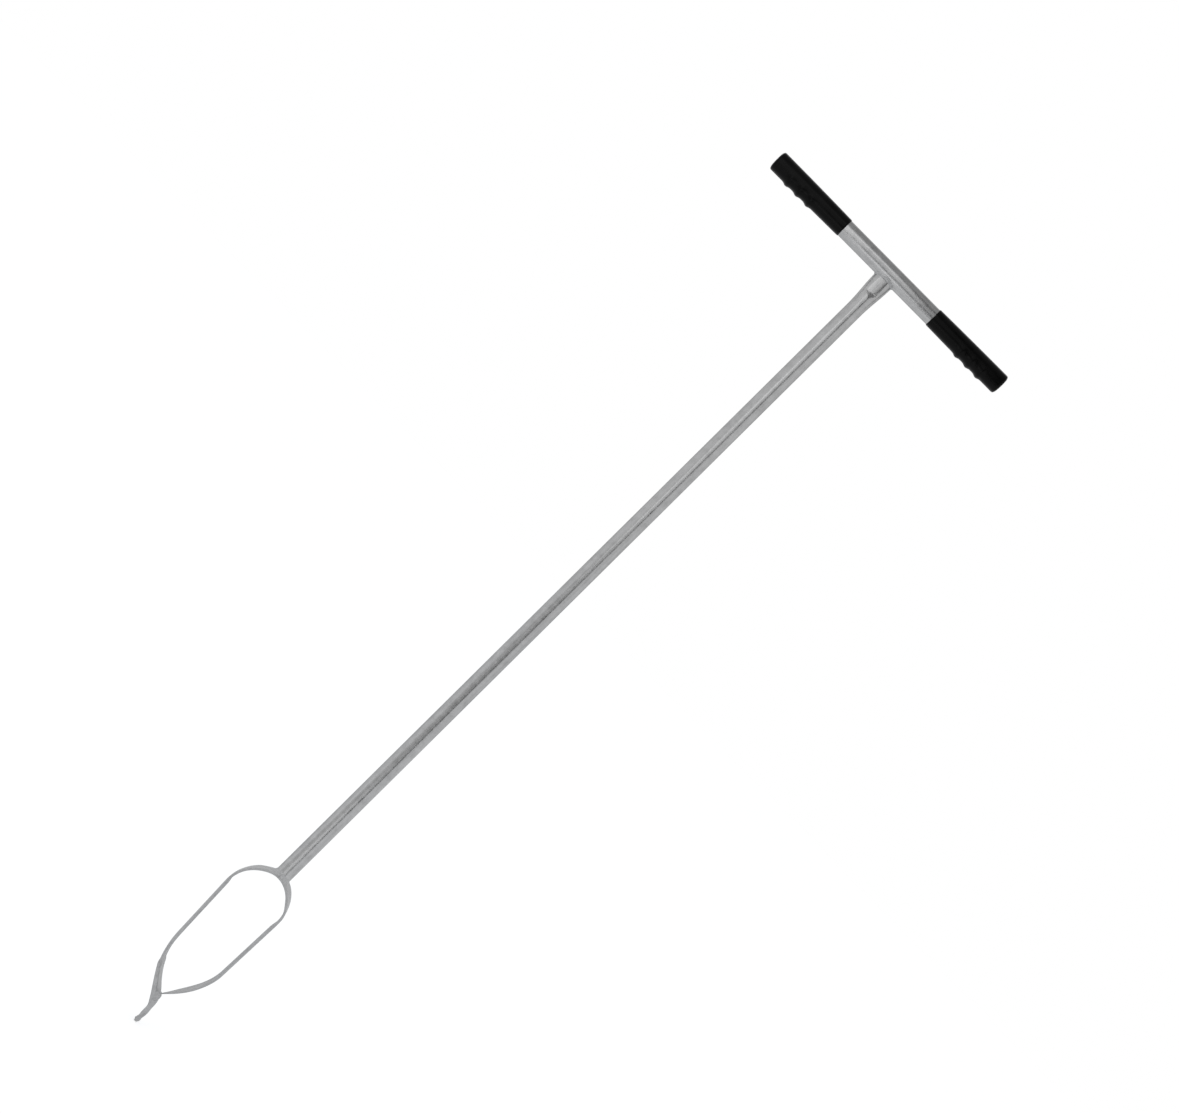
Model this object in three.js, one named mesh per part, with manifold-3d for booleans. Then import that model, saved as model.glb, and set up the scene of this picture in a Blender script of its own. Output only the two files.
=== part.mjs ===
// A one-piece hand soil auger. Two forged blades meet in a twisted bit, and a tube shaft carries them under a T handle.
// Millimetres, +Z up the shaft, +X along the handle. The origin is level with the bit's point, and the auger turns about Z.
// Seen from above it cuts clockwise, so the bit and the blades' lower ends turn as a right-handed screw does.
import * as THREE from "three";
import { mergeVertices } from "three/addons/utils/BufferGeometryUtils.js";
import Module from "manifold-3d";

const wasm = await Module();
wasm.setup();

const { lerp, clamp, degToRad, smoothstep } = THREE.MathUtils;

// Driving dimensions
const TOTAL_LENGTH = 1180; // from the bit's point to the top of the handle tube
const HANDLE_LENGTH = 350; // over both grips
const HANDLE_SHIFT = -2; // the handle's middle is welded on this far from the shaft's line
const SHAFT_DIAMETER = 20;
const SHAFT_WALL = 2;
const HANDLE_TUBE_DIAMETER = 21.3;
const HANDLE_TUBE_WALL = 2;
const FIT_GAP = 0.3; // between pieces that are welded or pushed together
const CUT_OVERRUN = 3; // how far a cut runs past what it cuts
const MERGE_DISTANCE = 1e-4;

// Shaft: its top end is pressed flatter, front and back, and coped to the handle tube
const PRESSED_WIDTH = 25;
const PRESSED_DEPTH = 15.6; // of the oval, before the flats
const PRESSED_FLATS = 14; // across the flats
const FLARE_START = 66; // from the top of the handle tube
const FLATS_START = 41.5;

// Head: two blades in a loop, from the crown under the shaft down to the bit
const CROWN_HEIGHT = 226; // middle of the blade's thickness at the top of the loop
const CROWN_DROP = 44; // from the crown down to the shoulders
const HEEL_HEIGHT = 103.2; // where the sides start to close on the bit
const LOOP_SHIFT = -1.9; // the loop's middle is this far from the shaft's line
const LEFT_SHOULDER = 37.8; // from the loop's middle
const LEFT_HEEL = 34.4;
const RIGHT_SHOULDER = 35.1;
const RIGHT_HEEL = 32.5;
const BLADE_WIDTH = 26;
const BLADE_THICKNESS = 2.7;
const BLADE_EDGE = 1.6; // thickness left at the edges, which are ground below the shoulders
const BLADE_BEVEL = 3; // width of the grinding along both edges
const BLADE_CAMBER = 2.1; // how far the edges turn in, so that the blade follows the bore
const SHOULDER_RUN = 14; // over which the plain flat crown takes that curve and the ground edges
const NARROWING_HEIGHT = 74; // where the blades start to narrow towards the bit
const RIGHT_TAIL_WIDTH = 4;
const RIGHT_TAIL_THICKNESS = 1.5;
const RIGHT_TAIL_HEIGHT = 37.7;
const RIGHT_TAIL_LENGTH = 5; // of the narrow end that is welded down
const RIGHT_TAIL_OFFSET = -4.4; // from the shaft's line
const RIGHT_TAIL_LEAN = 36; // degrees from the shaft's line

// Bit: a flat arm takes the left blade, and the bar below it twists down to the point
const NECK_HEIGHT = 45.2;
const NECK_OFFSET = -12.4; // from the shaft's line
const NECK_LEAN = 38.5;
const NECK_WIDTH = 19;
const NECK_THICKNESS = 6.3;
const ARM_WIDTH = 24.5;
const ARM_THICKNESS = 5.3;
const THROAT_HEIGHT = 21;
const THROAT_WIDTH = 6;
const THROAT_THICKNESS = 4.6;
const POINT_OFFSET = -1; // from the shaft's line
const POINT_LEAN = -6.7; // the point leans back after the neck's bend
const POINT_WIDTH = 6.4;
const POINT_THICKNESS = 5.2;
const POINT_ROUNDING = 3; // the end face is this much narrower and thinner, over this height
const BIT_TWIST = 250; // degrees, from the blades down to the point
const TWIST_HEIGHT = 62; // where the twist starts
const TWIST_GROWTH = 2.6; // how much faster it turns towards the point

// Grips: moulded sleeves with one closed end, and ridges between the fingers
const GRIP_LENGTH = 106;
const GRIP_LIP_DIAMETER = 22.9;
const GRIP_DIAMETER = 24.6;
const GRIP_END_WALL = 4;
const GRIP_END_ROUNDING = 4;
const GRIP_LIP_ROUNDING = 0.4;
const RIDGE_COUNT = 3;
const FIRST_RIDGE = 26.3; // from the closed end
const RIDGE_PITCH = 15.9;
const RIDGE_HEIGHT = 1.6;

// Welds
const HANDLE_WELD_FRONT = 4.4;
const HANDLE_WELD_SIDE = 2;
const FOOT_WELD_LIFT = 5.2; // up the shaft
const FOOT_WELD_SIDE = 4.4; // out over the crown, to the left and right
const FOOT_WELD_FRONT = 2.6; // to the front and back, up to the blades' edges
const ARM_WELD = 1.3;
const ARM_WELD_RISE = 1.1;
const LAP_WELD_LENGTH = 8.4; // along the right blade
const LAP_WELD_WIDTH = 8;
const LAP_WELD_DEPTH = 4.4;
const LAP_WELD_SHIFT = 1.5; // towards the corner below the blade

// Facets
const TUBE_SIDES = 40;
const GRIP_SIDES = 28;
const BAR_SIDES = 20;
const BEAD_SIDES = 12;
const BEAD_STEPS = 34;
const FILLET_STEPS = 6;
const STRIP_SPANS = 8; // across a blade
const CROWN_STEPS = 16;
const SIDE_STEPS = 5;
const CLOSING_STEPS = 18;
const ARM_STEPS = 8;
const BIT_STEPS = 36;
const PRESSED_STEPS = 12;
const GRIP_STEPS = 34;
const ROUNDING_STEPS = 4;

// Forms that are shares of the sizes above
const LEFT_CROWN_EXPONENT_SHARE = 1.77; // of the superellipse that the crown follows, where 2 is an ellipse
const RIGHT_CROWN_EXPONENT_SHARE = 2.05;
const LEFT_PULL_SHARES = [0.4, 0.33]; // of the closing run, at the heel and at its lower end
const RIGHT_PULL_SHARES = [0.35, 0.3];
const POINT_PULL_SHARES = [0.26, 0.62];
const ARM_TOP_SHARE = 0.6; // of the left closing run
const BAR_EXPONENT_SHARE = 3.6;
const BEAD_BULGE_SHARE = 0.62;
const FLATS_STEP_SHARE = 2.6; // height of the step below the flats, for its depth

// Sizes that follow from the ones above
const shaftRadius = SHAFT_DIAMETER / 2;
const handleRadius = HANDLE_TUBE_DIAMETER / 2;
const handleHeight = TOTAL_LENGTH - handleRadius;
const shaftFoot = CROWN_HEIGHT - 2 * BLADE_THICKNESS; // before the crown's shape is cut from it
const shoulderHeight = CROWN_HEIGHT - CROWN_DROP;
const flareHeight = TOTAL_LENGTH - FLARE_START;
const flatsHeight = TOTAL_LENGTH - FLATS_START;
const copeHeight = handleHeight - handleRadius;

const upAxis = new THREE.Vector3(0, 0, 1);

const steel = { color: 0xa3a5a6, metalness: 0.9, roughness: 0.38 };
const weldSteel = { color: 0x94969a, metalness: 0.85, roughness: 0.5 };
const rubber = { color: 0x101112, metalness: 0, roughness: 0.62 };

// Skins a closed body over rings of points that turn anticlockwise about the way they travel.
// Joined rings run back to the first, as in a tube. Otherwise a ladder of faces closes each end.
function skin(rings, joined = false) {
  const count = rings[0].length;
  const faces = [];
  for (let r = 0; r < rings.length - (joined ? 0 : 1); r++) {
    const here = r * count;
    const next = ((r + 1) % rings.length) * count;
    for (let k = 0; k < count; k++) {
      const turn = (k + 1) % count;
      faces.push(here + k, here + turn, next + turn);
      faces.push(here + k, next + turn, next + k);
    }
  }
  const last = (rings.length - 1) * count;
  for (let k = 0; !joined && k < count / 2 - 1; k++) {
    const [a, b, c, d] = [k, k + 1, count - 2 - k, count - 1 - k];
    faces.push(a, c, b, a, d, c);
    faces.push(last + a, last + b, last + c, last + a, last + c, last + d);
  }
  const geometry = new THREE.BufferGeometry().setFromPoints(rings.flat());
  geometry.setIndex(faces);
  return geometry;
}

// A geometry as a solid that booleans can use, and back.
function solidOf(geometry) {
  const bare = new THREE.BufferGeometry();
  bare.setAttribute("position", geometry.getAttribute("position"));
  bare.setIndex(geometry.index);
  const merged = mergeVertices(bare, MERGE_DISTANCE);
  const triVerts = new Uint32Array(merged.index.array);
  return new wasm.Manifold(
    new wasm.Mesh({ numProp: 3, vertProperties: merged.attributes.position.array, triVerts }),
  );
}

function geometryOf(solid) {
  const mesh = solid.getMesh();
  const geometry = new THREE.BufferGeometry();
  geometry.setAttribute("position", new THREE.BufferAttribute(mesh.vertProperties, 3));
  geometry.setIndex(new THREE.BufferAttribute(mesh.triVerts, 1));
  return geometry;
}

// A body of turning with straight walls about the handle's axis. It is hollow where it has an inner radius.
function handleBar(radius, innerRadius, length) {
  const profile = [
    new THREE.Vector2(innerRadius, -length / 2),
    new THREE.Vector2(radius, -length / 2),
    new THREE.Vector2(radius, length / 2),
    new THREE.Vector2(innerRadius, length / 2),
  ];
  if (innerRadius > 0) profile.push(profile[0].clone());
  const bar = new THREE.LatheGeometry(profile, TUBE_SIDES);
  return bar.rotateZ(-Math.PI / 2).translate(HANDLE_SHIFT, 0, handleHeight);
}

// Superellipse: a point of it at an angle, where an exponent of 2 is an ellipse.
function rounded(angle, halfWidth, halfDepth, exponent = 2) {
  const power = 2 / exponent;
  const [c, s] = [Math.cos(angle), Math.sin(angle)];
  return [
    halfWidth * Math.sign(c) * Math.abs(c) ** power,
    halfDepth * Math.sign(s) * Math.abs(s) ** power,
  ];
}

// Shaft tube

// The shaft's outline at a height, moved outwards by an offset. It is round, and turns into an oval at the top.
function shaftOutline(height, offset) {
  const pressed = smoothstep(height, flareHeight, copeHeight);
  const halfWidth = lerp(shaftRadius, PRESSED_WIDTH / 2, pressed) + offset;
  const halfDepth = lerp(shaftRadius, PRESSED_DEPTH / 2, pressed) + offset;
  return Array.from({ length: TUBE_SIDES }, (_, k) => {
    const [x, y] = rounded((2 * Math.PI * k) / TUBE_SIDES, halfWidth, halfDepth);
    return new THREE.Vector3(x, y, height);
  });
}

function shaftHeights() {
  const oval = Array.from({ length: PRESSED_STEPS + 1 }, (_, i) =>
    lerp(flareHeight, copeHeight, i / PRESSED_STEPS),
  );
  return [shaftFoot, ...oval, handleHeight];
}

// What the press takes off the front and the back, beyond an offset: a flat, with a step below it.
function pressCutter(offset) {
  const flat = PRESSED_FLATS / 2 + offset;
  const beyond = SHAFT_DIAMETER;
  const slope = (beyond - flat) * FLATS_STEP_SHARE;
  const profile = new THREE.Shape([
    new THREE.Vector2(flat, handleHeight + CUT_OVERRUN),
    new THREE.Vector2(flat, flatsHeight),
    new THREE.Vector2(beyond, flatsHeight - slope),
    new THREE.Vector2(beyond, handleHeight + CUT_OVERRUN),
  ]);
  const width = PRESSED_WIDTH + 2 * CUT_OVERRUN;
  const block = new THREE.ExtrudeGeometry(profile, { depth: width, bevelEnabled: false });
  block.translate(0, 0, -width / 2).rotateX(Math.PI / 2).rotateZ(Math.PI / 2);
  const back = solidOf(block);
  return back.add(solidOf(block.clone().rotateZ(Math.PI)));
}

// The whole outline as a solid bar, for cutting what surrounds it.
function shaftBar(offset) {
  const bar = solidOf(skin(shaftHeights().map((z) => shaftOutline(z, offset))));
  return bar.subtract(pressCutter(offset));
}

function shaftTube() {
  const outer = shaftHeights().map((z) => shaftOutline(z, 0));
  const inner = shaftHeights()
    .map((z) => shaftOutline(z, -SHAFT_WALL))
    .reverse();
  const tube = solidOf(skin([...outer, ...inner], true)).subtract(pressCutter(0));
  return geometryOf(tube.subtract(handleCutter()).subtract(crownCutter()));
}

// Head

const left = {
  sign: -1,
  shoulder: LEFT_SHOULDER,
  heel: LEFT_HEEL,
  exponent: LEFT_CROWN_EXPONENT_SHARE,
  pulls: LEFT_PULL_SHARES,
};
const right = {
  sign: 1,
  shoulder: RIGHT_SHOULDER,
  heel: RIGHT_HEEL,
  exponent: RIGHT_CROWN_EXPONENT_SHARE,
  pulls: RIGHT_PULL_SHARES,
};

function inLoop(side, reach, height) {
  return new THREE.Vector3(LOOP_SHIFT + side.sign * reach, 0, height);
}

// How far the head has turned at a height, in radians. The turn grows towards the point.
function turnAt(height) {
  const share = Math.max(0, 1 - height / TWIST_HEIGHT);
  return -degToRad(BIT_TWIST) * share ** TWIST_GROWTH;
}

// Over the crown and the shoulder: a quarter of a superellipse.
function crownPoints(side, start) {
  return Array.from({ length: CROWN_STEPS + 1 }, (_, i) => {
    const angle = (1 - i / CROWN_STEPS) * (Math.PI / 2);
    const [reach, rise] = rounded(angle, side.shoulder - start, CROWN_DROP, side.exponent);
    return inLoop(side, start + reach, shoulderHeight + rise);
  });
}

// From the shoulder straight down to the heel.
function sidePoints(side) {
  const top = inLoop(side, side.shoulder, shoulderHeight);
  const bottom = inLoop(side, side.heel, HEEL_HEIGHT);
  return Array.from({ length: SIDE_STEPS }, (_, i) => top.clone().lerp(bottom, (i + 1) / SIDE_STEPS));
}

// From one place to another, leaving and arriving in given directions.
function bend(from, leaving, to, arriving, pulls) {
  const run = from.distanceTo(to);
  return new THREE.CubicBezierCurve3(
    from,
    from.clone().addScaledVector(leaving, run * pulls[0]),
    to.clone().addScaledVector(arriving, -run * pulls[1]),
    to,
  );
}

function leaning(side, degrees) {
  return new THREE.Vector3(-side.sign * Math.sin(degToRad(degrees)), 0, -Math.cos(degToRad(degrees)));
}

// From the heel in to a lower end that leans towards the shaft's line.
function closingCurve(side, end, lean) {
  const heel = inLoop(side, side.heel, HEEL_HEIGHT);
  const down = heel.clone().sub(inLoop(side, side.shoulder, shoulderHeight)).normalize();
  return bend(heel, down, end, leaning(side, lean), side.pulls);
}

function sample(curve, from, to, steps) {
  return Array.from({ length: steps }, (_, i) => curve.getPoint(lerp(from, to, (i + 1) / steps)));
}

// Gives each point of a spine a frame that turns about the shaft's line.
// across runs over the blade's width, and through runs through its thickness.
function framed(spine) {
  return spine.map((place, i) => {
    const before = spine[Math.max(i - 1, 0)];
    const after = spine[Math.min(i + 1, spine.length - 1)];
    const along = after.clone().sub(before).normalize();
    const across = new THREE.Vector3(0, 1, 0).applyAxisAngle(upAxis, turnAt(place.z));
    across.addScaledVector(along, -across.dot(along)).normalize();
    return { place, along, across, through: along.clone().cross(across) };
  });
}

function ringAt(frame, outline) {
  return outline.map(([u, v]) =>
    frame.place.clone().addScaledVector(frame.across, u).addScaledVector(frame.through, v),
  );
}

// A blade's section: full thickness in the middle, and thinner edges that turn in towards the loop.
function stripOutline(width, thickness, edge, camber) {
  const points = [];
  for (const face of [1, -1]) {
    for (let i = 0; i <= STRIP_SPANS; i++) {
      const u = face * (1 - (2 * i) / STRIP_SPANS);
      const ground = Math.min(((1 - Math.abs(u)) * width) / 2 / BLADE_BEVEL, 1);
      const half = lerp(Math.min(edge, thickness), thickness, ground) / 2;
      points.push([(u * width) / 2, face * half + camber * u * u]);
    }
  }
  return points;
}

// A bar's section: flat sides with round corners.
function barOutline(width, thickness) {
  return Array.from({ length: BAR_SIDES }, (_, k) =>
    rounded((2 * Math.PI * (k + 0.5)) / BAR_SIDES, width / 2, thickness / 2, BAR_EXPONENT_SHARE),
  );
}

// One blade over its frames, moved outwards by an offset. It narrows from the heel to its lower end.
function bladeSolid(side, frames, tail, offset) {
  const rings = frames.map((frame) => {
    const { z } = frame.place;
    const narrowing = clamp((NARROWING_HEIGHT - z) / (NARROWING_HEIGHT - tail.height), 0, 1) ** 2;
    const width = lerp(BLADE_WIDTH, tail.width, narrowing) + 2 * offset;
    const below = smoothstep(shoulderHeight - z, -SHOULDER_RUN / 2, SHOULDER_RUN / 2);
    const flattening = smoothstep(HEEL_HEIGHT - z, 0, HEEL_HEIGHT - tail.height);
    const camber = -side.sign * BLADE_CAMBER * below * (1 - flattening);
    const thickness = lerp(BLADE_THICKNESS, tail.thickness, narrowing) + 2 * offset;
    const edge = lerp(thickness, BLADE_EDGE + 2 * offset, below);
    return ringAt(frame, stripOutline(width, thickness, edge, camber));
  });
  return solidOf(skin(rings));
}

const neck = new THREE.Vector3(NECK_OFFSET, 0, NECK_HEIGHT);
const rightTail = {
  height: RIGHT_TAIL_HEIGHT + RIGHT_TAIL_LENGTH,
  width: RIGHT_TAIL_WIDTH,
  thickness: RIGHT_TAIL_THICKNESS,
};

const leftClosing = closingCurve(left, neck, NECK_LEAN);
const point = new THREE.Vector3(POINT_OFFSET, 0, 0);
const pointLean = leaning(left, POINT_LEAN);
const pointCurve = bend(neck, leaning(left, NECK_LEAN), point, pointLean, POINT_PULL_SHARES);
const leftTail = {
  height: leftClosing.getPoint(ARM_TOP_SHARE).z,
  width: ARM_WIDTH,
  thickness: BLADE_THICKNESS,
};
const leftSpine = [
  ...crownPoints(left, FIT_GAP / 2),
  ...sidePoints(left),
  ...sample(leftClosing, 0, ARM_TOP_SHARE, CLOSING_STEPS),
];
const bitSpine = [
  ...sample(leftClosing, ARM_TOP_SHARE, 1, ARM_STEPS),
  ...sample(pointCurve, 0, 1, BIT_STEPS),
];
const leftRun = framed([...leftSpine, ...bitSpine]);
const armTop = leftSpine.length - 1;

const rightEnd = new THREE.Vector3(RIGHT_TAIL_OFFSET, 0, RIGHT_TAIL_HEIGHT);
const rightRun = framed([
  ...crownPoints(right, FIT_GAP / 2),
  ...sidePoints(right),
  ...sample(closingCurve(right, rightEnd, RIGHT_TAIL_LEAN), 0, 1, CLOSING_STEPS),
]);

// The bit over its frames, moved outwards by an offset: arm, neck, throat, point.
function bitSolid(frames, offset) {
  const stations = [
    [leftRun[armTop].place.z, ARM_WIDTH, ARM_THICKNESS],
    [NECK_HEIGHT, NECK_WIDTH, NECK_THICKNESS],
    [THROAT_HEIGHT, THROAT_WIDTH, THROAT_THICKNESS],
    [POINT_ROUNDING, POINT_WIDTH, POINT_THICKNESS],
    [0, POINT_WIDTH - POINT_ROUNDING, POINT_THICKNESS - POINT_ROUNDING],
  ];
  const rings = frames.map((frame) => {
    const z = Math.max(frame.place.z, 0);
    const below = Math.max(1, stations.findIndex(([height]) => height <= z));
    const [high, low] = [stations[below - 1], stations[below]];
    const share = smoothstep(high[0] - z, 0, high[0] - low[0]);
    const width = lerp(high[1], low[1], share) + 2 * offset;
    return ringAt(frame, barOutline(width, lerp(high[2], low[2], share) + 2 * offset));
  });
  return solidOf(skin(rings));
}

function bit() {
  const frames = leftRun.slice(armTop);
  const seat = { ...frames[0], place: frames[0].place.clone().addScaledVector(frames[0].along, FIT_GAP) };
  const bar = bitSolid([seat, ...frames.slice(1)], 0);
  return geometryOf(bar.trimByPlane(upAxis.toArray(), 0)); // the leaning end is ground level
}

function leftBlade() {
  return geometryOf(bladeSolid(left, leftRun.slice(0, armTop + 1), leftTail, 0));
}

// The right blade runs down to the bit and is cut to lie on it.
function rightBlade() {
  const blade = bladeSolid(right, rightRun, rightTail, 0);
  return geometryOf(blade.subtract(bitSolid(leftRun.slice(armTop), FIT_GAP)));
}

// Height of the crown's upper face, away from the shoulders.
function crownTopAt(x) {
  const side = x < LOOP_SHIFT ? left : right;
  const share = Math.abs(x - LOOP_SHIFT) / side.shoulder;
  const rise = CROWN_DROP * (1 - share ** side.exponent) ** (1 / side.exponent);
  return shoulderHeight + rise + BLADE_THICKNESS / 2;
}

// Everything under the crown's upper face, and a fit gap above it.
function crownCutter() {
  const outer = (side) =>
    framed(crownPoints(side, 0)).map(({ place, through }) =>
      place.clone().addScaledVector(through, side.sign * (BLADE_THICKNESS / 2 + FIT_GAP)),
    );
  const top = [...outer(left).reverse(), ...outer(right).slice(1)];
  const shape = new THREE.Shape(top.map((p) => new THREE.Vector2(p.x, p.z)).reverse());
  const width = BLADE_WIDTH + 2 * SHAFT_DIAMETER;
  const block = new THREE.ExtrudeGeometry(shape, { depth: width, bevelEnabled: false });
  return solidOf(block.rotateX(Math.PI / 2).translate(0, width / 2, 0));
}

function handleCutter() {
  return solidOf(handleBar(handleRadius + FIT_GAP, 0, 2 * PRESSED_WIDTH));
}

// Welds

// A bead along a closed path. Each place on it has a size and faces away from the corner that it fills.
function bead(path) {
  const rings = path.map(({ place, facing, size, rise = size * BEAD_BULGE_SHARE }, i) => {
    const along = path[(i + 1) % path.length].place
      .clone()
      .sub(path.at(i - 1).place)
      .normalize();
    const out = facing.clone().addScaledVector(along, -facing.dot(along)).normalize();
    const over = along.clone().cross(out);
    return Array.from({ length: BEAD_SIDES }, (_, k) => {
      const [u, v] = rounded((2 * Math.PI * k) / BEAD_SIDES, rise, size);
      return place.clone().addScaledVector(out, u).addScaledVector(over, v);
    });
  });
  return solidOf(skin(rings, true));
}

function around(steps, placed) {
  return Array.from({ length: steps }, (_, i) => placed((2 * Math.PI * i) / steps));
}

function handleWeld() {
  const path = around(BEAD_STEPS, (angle) => {
    const [x, y] = rounded(angle, PRESSED_WIDTH / 2, PRESSED_FLATS / 2);
    const drop = Math.sqrt(handleRadius ** 2 - y ** 2);
    const wall = new THREE.Vector3(x / PRESSED_WIDTH ** 2, y / PRESSED_FLATS ** 2, 0).normalize();
    const tube = new THREE.Vector3(0, y, -drop).normalize();
    const size = lerp(HANDLE_WELD_SIDE, HANDLE_WELD_FRONT, Math.abs(y) / (PRESSED_FLATS / 2));
    return { place: new THREE.Vector3(x, y, handleHeight - drop), facing: wall.add(tube), size };
  });
  return geometryOf(bead(path).subtract(shaftBar(FIT_GAP)).subtract(handleCutter()));
}

// A hollow fillet from the shaft's wall out over the crown.
function footWeld() {
  const rings = around(BEAD_STEPS, (angle) => {
    const wall = new THREE.Vector3(Math.cos(angle), Math.sin(angle), 0);
    const spread = lerp(FOOT_WELD_FRONT, FOOT_WELD_SIDE, Math.abs(wall.x));
    const section = Array.from({ length: FILLET_STEPS + 1 }, (_, i) => {
      const turn = ((i / FILLET_STEPS) * Math.PI) / 2;
      return [spread * (1 - Math.cos(turn)), FOOT_WELD_LIFT * (1 - Math.sin(turn))];
    });
    section.push([-SHAFT_WALL / 2, -BLADE_THICKNESS / 2]); // inside the wall and the crown, before they are cut away
    return section.map(([out, up]) => {
      const place = wall.clone().multiplyScalar(shaftRadius + out);
      place.z = crownTopAt(place.x) + up;
      return place;
    });
  });
  const fillet = solidOf(skin(rings, true));
  return geometryOf(fillet.subtract(shaftBar(FIT_GAP)).subtract(crownCutter()));
}

// A bead round a bar of a given section, where it joins its neighbour at a frame.
function collar(frame, width, thickness, size, rise) {
  const path = barOutline(width, thickness).map(([u, v]) => {
    const facing = frame.across.clone().multiplyScalar(u / width ** 2);
    facing.addScaledVector(frame.through, v / thickness ** 2).normalize();
    return { place: ringAt(frame, [[u, v]])[0], facing, size, rise };
  });
  return bead(path);
}

function armWeld() {
  const ring = collar(leftRun[armTop], ARM_WIDTH, ARM_THICKNESS, ARM_WELD, ARM_WELD_RISE);
  const blade = bladeSolid(left, leftRun.slice(armTop - 4, armTop + 2), leftTail, FIT_GAP);
  const arm = bitSolid(leftRun.slice(armTop - 1, armTop + 4), FIT_GAP);
  return geometryOf(ring.subtract(blade).subtract(arm));
}

// The lump that closes the corner between the right blade's narrow end and the bit.
function lapWeld() {
  const { place, along, across, through } = rightRun.at(-2);
  const lump = new THREE.SphereGeometry(1, BEAD_SIDES * 2, BEAD_SIDES);
  lump.scale(LAP_WELD_LENGTH / 2, LAP_WELD_WIDTH / 2, LAP_WELD_DEPTH / 2);
  lump.applyMatrix4(new THREE.Matrix4().makeBasis(along, across, through));
  const middle = place.clone().addScaledVector(through, LAP_WELD_SHIFT);
  lump.translate(middle.x, middle.y, middle.z);
  const blade = bladeSolid(right, rightRun.slice(-5), rightTail, FIT_GAP);
  const arm = bitSolid(leftRun.slice(armTop), FIT_GAP);
  return geometryOf(solidOf(lump).subtract(blade).subtract(arm));
}

// Grips

// How far a ridge stands out at a distance from the closed end.
function ridgeAt(distance) {
  const turns = (distance - FIRST_RIDGE) / RIDGE_PITCH;
  if (turns < -0.5 || turns > RIDGE_COUNT - 0.5) return 0;
  return RIDGE_HEIGHT * ((1 + Math.cos(2 * Math.PI * turns)) / 2) ** 2;
}

function gripRing(x, radius, ridge) {
  return Array.from({ length: GRIP_SIDES }, (_, k) => {
    const angle = (2 * Math.PI * (k + 0.5)) / GRIP_SIDES;
    const reach = radius + ridge * Math.max(0, -Math.sin(angle));
    return new THREE.Vector3(x, reach * Math.cos(angle), reach * Math.sin(angle));
  });
}

// One grip along +X with its closed end outermost. The rings run up the bore, over the lip and out to the end.
function grip() {
  const lip = HANDLE_LENGTH / 2 - GRIP_LENGTH;
  const end = HANDLE_LENGTH / 2;
  const bore = handleRadius + FIT_GAP;
  const rings = [
    gripRing(end - GRIP_END_WALL, bore, 0),
    gripRing(lip, bore, 0),
    gripRing(lip, GRIP_LIP_DIAMETER / 2 - GRIP_LIP_ROUNDING, 0),
  ];
  for (let i = 0; i <= GRIP_STEPS; i++) {
    const distance = lerp(GRIP_LENGTH - GRIP_LIP_ROUNDING, GRIP_END_ROUNDING, i / GRIP_STEPS);
    const swell = 1 - (distance / GRIP_LENGTH) ** 2;
    const radius = lerp(GRIP_LIP_DIAMETER, GRIP_DIAMETER, swell) / 2;
    rings.push(gripRing(end - distance, radius, ridgeAt(distance)));
  }
  for (let i = 1; i <= ROUNDING_STEPS; i++) {
    const angle = ((i / ROUNDING_STEPS) * Math.PI) / 2;
    const x = end - GRIP_END_ROUNDING * (1 - Math.sin(angle));
    const radius = GRIP_DIAMETER / 2 - GRIP_END_ROUNDING * (1 - Math.cos(angle));
    rings.push(gripRing(x, radius, 0));
  }
  return skin(rings);
}

// Assembly

const auger = new THREE.Group();

function add(name, geometry, finish) {
  geometry.computeVertexNormals();
  const mesh = new THREE.Mesh(geometry, new THREE.MeshStandardMaterial(finish));
  mesh.name = name;
  auger.add(mesh);
  return mesh;
}

const tubeLength = HANDLE_LENGTH - 2 * (GRIP_END_WALL + FIT_GAP);
const handleWall = handleRadius - HANDLE_TUBE_WALL;
add("handle_tube", handleBar(handleRadius, handleWall, tubeLength), steel);
for (const [name, facing] of [["grip_right", 0], ["grip_left", Math.PI]]) {
  const mesh = add(name, grip(), rubber);
  mesh.position.set(HANDLE_SHIFT, 0, handleHeight);
  mesh.rotation.z = facing;
}
add("shaft_tube", shaftTube(), steel);
add("handle_weld", handleWeld(), weldSteel);
add("foot_weld", footWeld(), weldSteel);
add("blade_left", leftBlade(), steel);
add("blade_right", rightBlade(), steel);
add("bit", bit(), steel);
add("arm_weld", armWeld(), weldSteel);
add("lap_weld", lapWeld(), weldSteel);

export default auger;
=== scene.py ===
# A one-piece soil auger: pressed tube shaft, T handle with rubber grips,
# and two forged blades over a twisted bit. Metres, in the frame of the CAD model.
# The auger stands on its point, and the camera is turned as in the photograph.
import math
from bisect import bisect

import bmesh
import bpy
from mathutils import Matrix, Vector
from mathutils.geometry import interpolate_bezier


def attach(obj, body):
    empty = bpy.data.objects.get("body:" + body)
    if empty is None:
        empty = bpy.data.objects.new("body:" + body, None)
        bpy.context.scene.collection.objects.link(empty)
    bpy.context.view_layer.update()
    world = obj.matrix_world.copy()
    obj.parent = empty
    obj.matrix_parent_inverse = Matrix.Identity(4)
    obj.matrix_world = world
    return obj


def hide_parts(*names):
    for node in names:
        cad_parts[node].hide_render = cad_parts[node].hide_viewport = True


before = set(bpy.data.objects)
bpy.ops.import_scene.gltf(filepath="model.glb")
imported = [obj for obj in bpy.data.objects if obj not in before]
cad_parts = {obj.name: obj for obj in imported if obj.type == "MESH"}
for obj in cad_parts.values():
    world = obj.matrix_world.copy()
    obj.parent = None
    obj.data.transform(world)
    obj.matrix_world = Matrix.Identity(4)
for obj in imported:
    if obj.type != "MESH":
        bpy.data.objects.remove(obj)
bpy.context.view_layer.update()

MM = 0.001

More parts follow.
